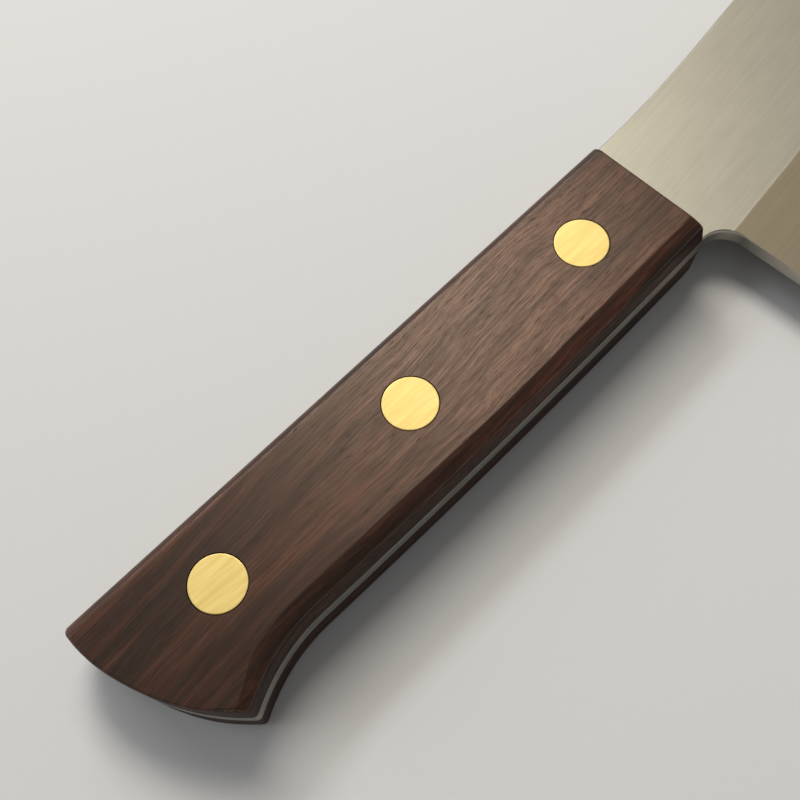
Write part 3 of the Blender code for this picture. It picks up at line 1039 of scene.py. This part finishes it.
class NodeSheet:
    """A node tree, with a short call for each kind of node."""

    def __init__(self, tree: bpy.types.NodeTree) -> None:
        """Open a node tree.

        Args:
            tree: The tree of a material or of the room.
        """
        self.nodes = tree.nodes
        self.links = tree.links
        self.coordinates = self.nodes.new("ShaderNodeTexCoord").outputs["Object"]

    def feed(self, socket: Socket, value: Value) -> None:
        """Link a socket to another, or set it where a plain value is given.

        Args:
            socket: The input.
            value: An output to link, a plain value, or nothing to leave the input as it is.
        """
        if isinstance(value, Socket):
            self.links.new(value, socket)
        elif value is not None:
            socket.default_value = value

    def add(self, kind: str, values: dict[str | int, Value], **settings: str) -> bpy.types.Node:
        """Add a node to the tree.

        Args:
            kind: The node's type, without the ShaderNode that each type starts with.
            values: What its inputs get, by their names or numbers.
            **settings: Its settings.

        Returns:
            The node.
        """
        node = self.nodes.new("ShaderNode" + kind)
        for name, setting in settings.items():
            setattr(node, name, setting)
        for name, value in values.items():
            self.feed(node.inputs[name], value)
        return node

    def place(self, middle: Vector, turn: float = 0.0) -> Socket:
        """Return coordinates that start at a middle and are turned about Z by some degrees."""
        values = {"Vector": self.coordinates, "Location": middle, "Rotation": (0.0, 0.0, math.radians(turn))}
        return self.add("Mapping", values, vector_type="TEXTURE").outputs["Vector"]

    def push_aside(self, vector: Value, step: Value) -> Socket:
        """Return a vector with a step added along Y."""
        aside = self.add("CombineXYZ", {"Y": step}).outputs["Vector"]
        return self.add("VectorMath", {0: vector, 1: aside}).outputs["Vector"]

    def noise(
        self, vector: Value, size: Triple, detail: float = 3.0, rough: float = 0.5, bend: float = 0.0
    ) -> Socket:
        """Return the value of a noise pattern, from 0 to 1.

        Args:
            vector: The place in the pattern.
            size: The length of one pattern unit along each axis.
            detail: How many octaves the pattern has.
            rough: How strong each finer octave is.
            bend: How far the pattern bends itself.

        Returns:
            The value socket.
        """
        scaled = self.add("VectorMath", {0: vector, 1: size}, operation="DIVIDE").outputs["Vector"]
        values = {"Vector": scaled, "Scale": 1.0, "Detail": detail, "Roughness": rough, "Distortion": bend}
        return self.add("TexNoise", values).outputs["Fac"]

    def calculate(self, operation: str, *values: Value) -> Socket:
        """Return the result of one operation on up to three outputs or plain numbers."""
        return self.add("Math", dict(enumerate(values)), operation=operation).outputs[0]

    def weigh(self, *parts: tuple[Value, float], rest: Value = 0.0) -> Value:
        """Return the sum of some values, each times its weight.

        Args:
            *parts: The values with their weights.
            rest: What the sum starts from.

        Returns:
            The value socket.
        """
        for value, weight in parts:
            rest = self.calculate("MULTIPLY_ADD", value, weight, rest)
        return rest

    def sway(self, pattern: Value, amount: float, base: Value = 0.0) -> Socket:
        """Return a base that a pattern from 0 to 1 moves by up to half an amount each way."""
        return self.calculate("MULTIPLY_ADD", self.calculate("SUBTRACT", pattern, 0.5), amount, base)

    def length(self, vector: Value) -> Socket:
        """Return the length of a vector."""
        return self.add("VectorMath", {0: vector}, operation="LENGTH").outputs["Value"]

    def part(self, vector: Value, axis: str) -> Socket:
        """Return a vector's part along X, Y or Z."""
        return self.add("SeparateXYZ", {0: vector}).outputs[axis]

    def seen_directly(self) -> Socket:
        """Return one for what the camera sees, also in a reflection or through glass, and else zero.

        Returns:
            The value socket.
        """
        ray = self.add("LightPath", {}).outputs
        seen = self.calculate("MAXIMUM", ray["Is Camera Ray"], ray["Is Glossy Ray"])
        return self.calculate("MAXIMUM", seen, ray["Is Transmission Ray"])

    def fit(self, value: Value, low: float, high: float, to_low: float, to_high: float) -> Socket:
        """Return a value mapped smoothly from one range to another, and held inside it."""
        values = dict(enumerate((value, low, high, to_low, to_high)))
        return self.add("MapRange", values, interpolation_type="SMOOTHSTEP").outputs["Result"]

    def ramp(self, value: Value, stops: list[tuple[float, Triple]]) -> Socket:
        """Return the colour of a ramp at a value.

        Args:
            value: The value.
            stops: The ramp's positions with their colours.

        Returns:
            The colour socket.
        """
        node = self.add("ValToRGB", {"Fac": value})
        elements = node.color_ramp.elements
        while len(elements) < len(stops):
            elements.new(0.5)
        for element, (position, colour) in zip(elements, stops):
            element.position = position
            element.color = (*colour, 1.0)
        return node.outputs["Color"]

    def mix(self, share: Value, a: Value, b: Value) -> Socket:
        """Return two colours mixed by a share.

        Args:
            share: The second colour's share.
            a: The first colour.
            b: The second colour.

        Returns:
            The colour socket.
        """
        node = self.add("Mix", {"Factor": share}, data_type="RGBA")
        for name, colour in (("A", a), ("B", b)):
            socket = next(s for s in node.inputs if s.name == name and s.type == "RGBA")
            self.feed(socket, (*colour, 1.0) if isinstance(colour, tuple) else colour)
        return next(s for s in node.outputs if s.type == "RGBA")

    def shade(self, colour: Value, level: Value) -> Socket:
        """Return a colour made darker or lighter by a level around one."""
        return self.add("VectorMath", {0: colour, "Scale": level}, operation="SCALE").outputs["Vector"]

    def bump(self, height: Value, distance: float, strength: float, under: Value = None) -> Socket:
        """Return normals that follow a height of some distance, on top of other normals where given."""
        values = {"Strength": strength, "Distance": distance, "Height": height, "Normal": under}
        return self.add("Bump", values).outputs["Normal"]


class FinishSheet(NodeSheet):
    """The node tree of one finish, round a Principled shader."""

    def __init__(self, name: str) -> None:
        """Start a material.

        Args:
            name: The material's name.
        """
        self.material = bpy.data.materials.new(name)
        self.material.use_nodes = True
        super().__init__(self.material.node_tree)
        self.shader = self.nodes["Principled BSDF"]

    def wear(self, colour: Value, roughness: Value, normal: Value, **others: Value) -> Finish:
        """Feed the shader what the finish is made of, and return the material.

        Args:
            colour: The colour.
            roughness: The roughness.
            normal: The normals.
            **others: More of the shader's inputs, named with underscores for spaces.

        Returns:
            The material.
        """
        values = {"Base_Color": colour, "Roughness": roughness, "Normal": normal, **others}
        for name, value in values.items():
            self.feed(self.shader.inputs[name.replace("_", " ")], value)
        return self.material


@dataclass(frozen=True)
class Rosewood:
    """Oiled dark rosewood: red-brown with near-black bands and fine open pores."""

    name: str = "oiled_rosewood"
    roughness: float = 0.365
    shine: float = 0.61
    grain_turn: float = 3.0
    waviness: float = 0.011
    ripple_height: float = 0.0013
    drift_size: Triple = (0.055, 0.035, 0.035)
    ripple_size: Triple = (0.012, 0.008, 0.008)
    broad_size: Triple = (0.060, 0.0042, 0.0042)
    streak_size: Triple = (0.036, 0.0013, 0.0013)
    fleck_size: Triple = (0.0075, 0.00034, 0.00034)
    fibre_size: Triple = (0.0050, 0.00020, 0.00020)
    pore_size: Triple = (0.0024, 0.000090, 0.000090)
    black: Triple = (0.0062, 0.0049, 0.0036)
    dusk: Triple = (0.0150, 0.0066, 0.0042)
    brown: Triple = (0.0310, 0.0108, 0.0066)
    russet: Triple = (0.0600, 0.0212, 0.0122)
    fleck_shades: Pair = (0.70, 1.34)
    fibre_shades: Pair = (0.68, 1.30)
    pore_colour: Triple = (0.006, 0.004, 0.003)
    pore_cover: float = 0.6
    pore_roughness: float = 0.22
    fleck_roughness: float = 0.025
    fibre_roughness: float = 0.045
    fibre_relief: float = 0.000008
    streak_relief: float = 0.00002
    sheen_tint: Triple = (1.0, 0.735, 0.61)
    band_turn: float = 9.0
    band_middle: float = 0.0086
    band_half_width: float = 0.0026
    band_raggedness: float = 0.0060
    band_blur: Pair = (0.0012, 0.0022)

    def make(self) -> Finish:
        """Make the wood's material.

        Returns:
            The material.
        """
        sheet = FinishSheet(self.name)
        straight = sheet.place(ORIGIN, self.grain_turn)
        along = sheet.part(straight, "X")
        wave = sheet.sway(sheet.noise(straight, self.drift_size, 1.0, 0.4), self.waviness)
        wave = sheet.sway(sheet.noise(straight, self.ripple_size, 1.0, 0.4), self.ripple_height, wave)
        grain = sheet.push_aside(straight, wave)
        broad = sheet.noise(grain, self.broad_size, 2.0, 0.5, 0.1)
        streak = sheet.noise(grain, self.streak_size, 3.0, 0.5, 0.1)
        fleck = sheet.noise(grain, self.fleck_size, 2.0)
        fibre = sheet.noise(grain, self.fibre_size, 3.0, 0.6)
        pore = sheet.fit(sheet.noise(grain, self.pore_size, 1.0, 0.4), 0.59, 0.68, 0.0, 1.0)

        tone = sheet.weigh((streak, 0.50), (broad, 0.50))
        # The tone rises a little from the butt towards the blade: partly the wood's darker heartwood at the
        # butt, partly painted shade at the butt, where the sheen fades.
        tone = sheet.calculate("ADD", tone, sheet.fit(along, -0.065, 0.060, 0.005, 0.015))
        stops = [(0.36, self.black), (0.44, self.dusk), (0.52, self.brown), (0.62, self.russet)]
        banded = sheet.push_aside(sheet.place(ORIGIN, self.band_turn), wave)
        band = self.dark_band(sheet, banded, streak, along)
        colour = sheet.mix(band, sheet.ramp(tone, stops), self.black)
        colour = sheet.shade(colour, sheet.fit(fleck, 0.34, 0.66, *self.fleck_shades))
        colour = sheet.shade(colour, sheet.fit(fibre, 0.36, 0.66, *self.fibre_shades))
        colour = sheet.mix(sheet.calculate("MULTIPLY", pore, self.pore_cover), colour, self.pore_colour)

        rough = sheet.weigh(
            (pore, self.pore_roughness),
            (sheet.fit(fleck, 0.35, 0.65, 0.5, -0.5), self.fleck_roughness),
            (sheet.fit(fibre, 0.36, 0.66, 0.5, -0.5), self.fibre_roughness),
            rest=sheet.fit(streak, 0.3, 0.7, self.roughness + 0.012, self.roughness - 0.008),
        )
        normal = sheet.bump(sheet.weigh((pore, -0.7), (fibre, 0.30)), self.fibre_relief, 0.3)
        normal = sheet.bump(streak, self.streak_relief, 0.1, normal)
        sheen = sheet.fit(tone, 0.40, 0.60, 0.96 * self.shine, 1.04 * self.shine)
        sheen = sheet.calculate("MULTIPLY", sheen, sheet.fit(fleck, 0.34, 0.66, 0.89, 1.11))
        tint = (*self.sheen_tint, 1.0)
        return sheet.wear(colour, rough, normal, Specular_IOR_Level=sheen, Specular_Tint=tint)

    def dark_band(self, sheet: FinishSheet, place: Value, streak: Value, along: Value) -> Socket:
        """Return how much of the dark band next to the spine shows at a place.

        Args:
            sheet: The wood's sheet.
            place: The place, with the grain's wave, measured along and across the band.
            streak: The streaks that make its borders ragged.
            along: How far along the handle the place is.

        Returns:
            The value socket, from 0 to 1.
        """
        offset = sheet.calculate("SUBTRACT", sheet.part(place, "Y"), self.band_middle)
        ragged = sheet.sway(streak, self.band_raggedness, sheet.calculate("ABSOLUTE", offset))
        inner, outer = self.band_half_width - self.band_blur[0], self.band_half_width + self.band_blur[1]
        fading = sheet.fit(along, -0.020, 0.030, 0.75, 0.15)
        return sheet.calculate("MULTIPLY", sheet.fit(ragged, inner, outer, 1.0, 0.0), fading)


@dataclass(frozen=True)
class SatinSteel:
    """Stainless steel, satin on the flat and finer ground below the grind line, where the darker colour is
    partly the ground finish's own and partly painted shade.
    """

    blade: Blade
    flat: Triple = (0.362, 0.348, 0.298)
    # Darker than the flat: partly the ground finish's own colour, partly painted shade of the slightly tilted
    # ground face.
    ground: Triple = (0.281, 0.246, 0.180)
    flat_roughness: float = 0.51
    ground_roughness: float = 0.63
    line_size: Triple = (0.030, 0.00012, 0.00012)
    stroke_size: Triple = (0.022, 0.00055, 0.00055)
    cloud_size: Triple = (0.006, 0.003, 0.003)
    border_size: Triple = (0.004, 0.0008, 0.0008)
    border_raggedness: float = 0.0004
    border_blur: float = 0.00025
    shades: Pair = (0.92, 1.03)
    line_roughness: float = 0.16
    relief: float = 0.000014

    def make(self) -> Finish:
        """Make the steel's material.

        Returns:
            The material.
        """
        sheet = FinishSheet("satin_steel")
        degrees = math.degrees(self.blade.slope)
        heel = sheet.place(ORIGIN + self.blade.point(0.0, 0.0).to_3d(), degrees)
        border = sheet.noise(heel, self.border_size)
        above = sheet.sway(border, self.border_raggedness, sheet.part(heel, "Y"))
        ground = sheet.fit(above, -self.border_blur, self.border_blur, 1.0, 0.0)

        straight = sheet.place(ORIGIN, degrees)
        lines = sheet.noise(straight, self.line_size, 4.0, 0.65)
        strokes = sheet.noise(straight, self.stroke_size, 3.0, 0.6)
        cloud = sheet.noise(straight, self.cloud_size)
        tone = sheet.weigh((cloud, 0.20), (strokes, 0.35), (lines, 0.45))
        level = sheet.fit(tone, 0.38, 0.62, *self.shades)
        # Below the grind line the colour turns darker, partly painted shade.
        colour = sheet.shade(sheet.mix(ground, self.flat, self.ground), level)
        rough = sheet.fit(ground, 0.0, 1.0, self.flat_roughness, self.ground_roughness)
        rough = sheet.sway(lines, self.line_roughness, rough)
        return sheet.wear(colour, rough, sheet.bump(lines, self.relief, 0.5), Metallic=1.0)


@dataclass(frozen=True)
class LinedMetal:
    """A metal of one colour with fine straight lines and faint clouds in it."""

    name: str
    bright: Triple
    dull: Triple
    line_size: Triple
    cloud_size: Triple
    cloud_detail: float
    line_share: float
    roughness: Pair
    relief: float
    turn: float = 0.0

    def make(self) -> Finish:
        """Make the metal's material.

        Returns:
            The material.
        """
        sheet = FinishSheet(self.name)
        straight = sheet.place(ORIGIN, self.turn)
        lines = sheet.noise(straight, self.line_size, 3.0, 0.65)
        cloud = sheet.noise(straight, self.cloud_size, self.cloud_detail)
        tone = sheet.weigh((cloud, 1.0 - self.line_share), (lines, self.line_share))
        colour = sheet.mix(sheet.fit(tone, 0.35, 0.65, 0.0, 1.0), self.dull, self.bright)
        rough = sheet.fit(lines, 0.3, 0.7, *self.roughness)
        return sheet.wear(colour, rough, sheet.bump(lines, self.relief, 0.5), Metallic=1.0)


BUFFED_EDGE = LinedMetal(
    name="buffed_edge_steel",
    bright=(0.45, 0.43, 0.38),
    dull=(0.34, 0.325, 0.285),
    line_size=(0.006, 0.006, 0.00012),
    cloud_size=(0.010, 0.010, 0.0010),
    cloud_detail=3.0,
    line_share=0.5,
    roughness=(0.31, 0.44),
    relief=0.000010,
)
BRUSHED_BRASS = LinedMetal(
    name="brushed_brass",
    bright=(0.765, 0.625, 0.268),
    dull=(0.640, 0.492, 0.184),
    line_size=(0.006, 0.00010, 0.00010),
    cloud_size=(0.009, 0.0008, 0.0008),
    cloud_detail=2.0,
    line_share=0.6,
    roughness=(0.54, 0.66),
    relief=0.000012,
    turn=-4.0,
)


@dataclass(frozen=True)
class StudioPaper:
    """The pale seamless paper that the cleaver lies on, which fades into the wall far away."""

    tint: Triple = (0.765, 0.78, 0.80)
    far_tint: Triple = (0.70, 0.69, 0.67)
    grain_size: Triple = (0.002, 0.002, 0.002)
    grain_shade: float = 0.97
    fade_start: float = 0.22
    fade_end: float = 0.62

    def make(self) -> Finish:
        """Return the paper's material.

        Returns:
            The material.
        """
        sheet = FinishSheet("studio_paper")
        grain = sheet.noise(sheet.coordinates, self.grain_size)
        colour = sheet.mix(grain, tuple(self.grain_shade * part for part in self.tint), self.tint)
        rough = sheet.fit(grain, 0.3, 0.7, 0.85, 0.95)
        paper = sheet.wear(colour, rough, sheet.bump(grain, 0.00002, 0.3))
        away = sheet.fit(sheet.length(sheet.coordinates), self.fade_start, self.fade_end, 0.0, 1.0)
        share = sheet.calculate("MULTIPLY", away, sheet.seen_directly())
        glow = sheet.add("Emission", {"Color": (*self.far_tint, 1.0)}).outputs["Emission"]
        blend = sheet.add("MixShader", {"Fac": share, 1: sheet.shader.outputs["BSDF"], 2: glow})
        sheet.feed(sheet.nodes["Material Output"].inputs["Surface"], blend.outputs["Shader"])
        return paper


@dataclass(frozen=True)
class SoftLamp:
    """A soft rectangular lamp that shines on the cleaver from one side."""

    name: str
    direction: Triple
    long_side: Triple
    distance: float
    size: Pair
    power: float
    colour: Triple = (1.0, 1.0, 1.0)

    def hang(self) -> None:
        """Hang the lamp at its distance, with its face towards the cleaver."""
        way = Vector(self.direction).normalized()
        across = way.cross(Vector(self.long_side)).normalized()
        Bench.clear()
        bpy.ops.object.light_add(type="AREA", location=tuple(ORIGIN + way * self.distance))
        lamp = bpy.context.object
        lamp.name = self.name
        lamp.rotation_euler = Matrix((across.cross(way), across, way)).transposed().to_euler()
        lamp.data.shape = "RECTANGLE"
        lamp.data.size, lamp.data.size_y = self.size
        lamp.data.energy = self.power
        lamp.data.color = self.colour


KEY_LAMP = SoftLamp(
    name="key_lamp",
    direction=(0.41, 0.56, 1.0),
    long_side=(0.0, 1.0, 0.0),
    distance=0.95,
    size=(0.56, 0.28),
    power=5.0,
    colour=(1.0, 0.92, 0.79),
)
STRIP_LAMP = SoftLamp(
    name="strip_lamp",
    direction=(0.19, 0.70, 0.66),
    long_side=(1.0, 0.0, 0.0),
    distance=0.80,
    size=(0.62, 0.10),
    power=1.6,
)


@dataclass(frozen=True)
class Studio:
    """The floor, the lamps and the camera."""

    floor_radius: float = 2.0
    floor_sides: int = 96
    room_level: float = 0.26
    ceiling_level: float = 0.24
    ceiling_fade: Pair = (0.10, 0.70)
    fill_direction: Triple = (-0.8, 0.9, 0.8)
    fill_softness: float = math.radians(40.0)
    fill_power: float = 0.50
    camera_offset: Triple = (-0.040679, -0.054293, 0.162442)
    camera_turn: Triple = (23.677, 3.993, -44.558)
    lens: float = 46.8
    sensor_width: float = 36.0
    nearest_seen: float = 0.005

    def build(self) -> None:
        """Set up the studio round the cleaver."""
        self.lay_floor()
        KEY_LAMP.hang()
        STRIP_LAMP.hang()
        self.hang_fill()
        self.paint_room()
        self.place_camera()

    def lay_floor(self) -> None:
        """Lay the round pale floor under the cleaver."""
        Bench.clear()
        bpy.ops.mesh.primitive_circle_add(
            vertices=self.floor_sides, radius=self.floor_radius, fill_type="NGON"
        )
        floor = bpy.context.object
        floor.name = "floor"
        floor.data.materials.append(StudioPaper().make())

    def hang_fill(self) -> None:
        """Hang the weak lamp that lights all sides softly."""
        Bench.clear()
        bpy.ops.object.light_add(type="SUN", location=tuple(ORIGIN + UP))
        fill = bpy.context.object
        fill.name = "fill_lamp"
        fill.rotation_euler = Vector(self.fill_direction).to_track_quat("Z", "Y").to_euler()
        fill.data.energy = self.fill_power
        fill.data.angle = self.fill_softness

    def paint_room(self) -> None:
        """Give the room pale walls and a dimmer ceiling, seen by the camera and in shiny surfaces only."""
        world = bpy.data.worlds.new("room")
        bpy.context.scene.world = world
        world.use_nodes = True
        sheet = NodeSheet(world.node_tree)
        direction = sheet.add("TexCoord", {}).outputs["Generated"]
        painted = sheet.fit(sheet.part(direction, "Z"), *self.ceiling_fade, 1.0, self.ceiling_level)
        background = sheet.nodes["Background"].inputs
        background["Color"].default_value = (*StudioPaper().far_tint, 1.0)
        extra = sheet.calculate("SUBTRACT", painted, self.room_level)
        extra = sheet.calculate("MULTIPLY", extra, sheet.seen_directly())
        sheet.feed(background["Strength"], sheet.calculate("ADD", extra, self.room_level))

    def place_camera(self) -> None:
        """Put the camera where the photograph was taken from."""
        Bench.clear()
        bpy.ops.object.camera_add(
            location=tuple(ORIGIN + Vector(self.camera_offset)),
            rotation=[math.radians(angle) for angle in self.camera_turn],
        )
        camera = bpy.context.object
        camera.data.lens = self.lens
        camera.data.sensor_fit = "HORIZONTAL"
        camera.data.sensor_width = self.sensor_width
        camera.data.clip_start = self.nearest_seen
        bpy.context.scene.camera = camera


@dataclass
class Cleaver:
    """The whole cleaver, and the finishes that its pieces share."""

    shape: HandleShape = field(default_factory=HandleShape)
    plate_side_tilt: float = math.radians(14.0)
    wood_side_tilt: float = math.radians(60.0)
    sanded_roughness: float = 0.50
    sanded_shine: float = 0.22

    def build(self) -> None:
        """Build, dress and place every piece."""
        blade = Blade(self.shape)
        steel = SatinSteel(blade).make()
        wood = Rosewood().make()
        brass = BRUSHED_BRASS.make()

        plate = blade.build()
        self.settle(plate, "blade_with_tang", "blade_steel", steel)
        Bench.dress_sides(plate, BUFFED_EDGE.make(), self.plate_side_tilt)
        sanded = Rosewood("sanded_rosewood", self.sanded_roughness, self.sanded_shine).make()
        for side in Side:
            scale = Scale(self.shape, side).build()
            self.settle(scale, side.word + "_scale", "handle_wood", wood)
            Bench.dress_sides(scale, sanded, self.wood_side_tilt)
        for half in Half:
            rivet = RivetHalf(self.shape, half)
            first = rivet.build()
            twins = {Station.MIDDLE: first}
            for station in (Station.REAR, Station.FRONT):
                twins[station] = rivet.copy_to(first, station)
            for station, piece in twins.items():
                node = station.word + "_rivet_" + half.word
                self.settle(piece, node, "rivet_brass", brass)

    @staticmethod
    def settle(piece: Piece, node: str, slot: str, finish: Finish) -> None:
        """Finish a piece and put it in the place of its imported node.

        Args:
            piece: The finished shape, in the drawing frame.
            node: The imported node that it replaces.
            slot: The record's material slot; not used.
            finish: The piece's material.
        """
        Bench.finish(piece, finish)
        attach(piece, "root")
        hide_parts(node)
        log.info("%s replaces %s with %d faces", piece.name, node, len(piece.data.polygons))


def main() -> None:
    """Build the cleaver and its studio."""
    logging.basicConfig(level=logging.INFO, format="%(message)s")
    Cleaver().build()
    Studio().build()
    bpy.context.scene.view_settings.view_transform = "Standard"


if __name__ == "__main__":
    main()
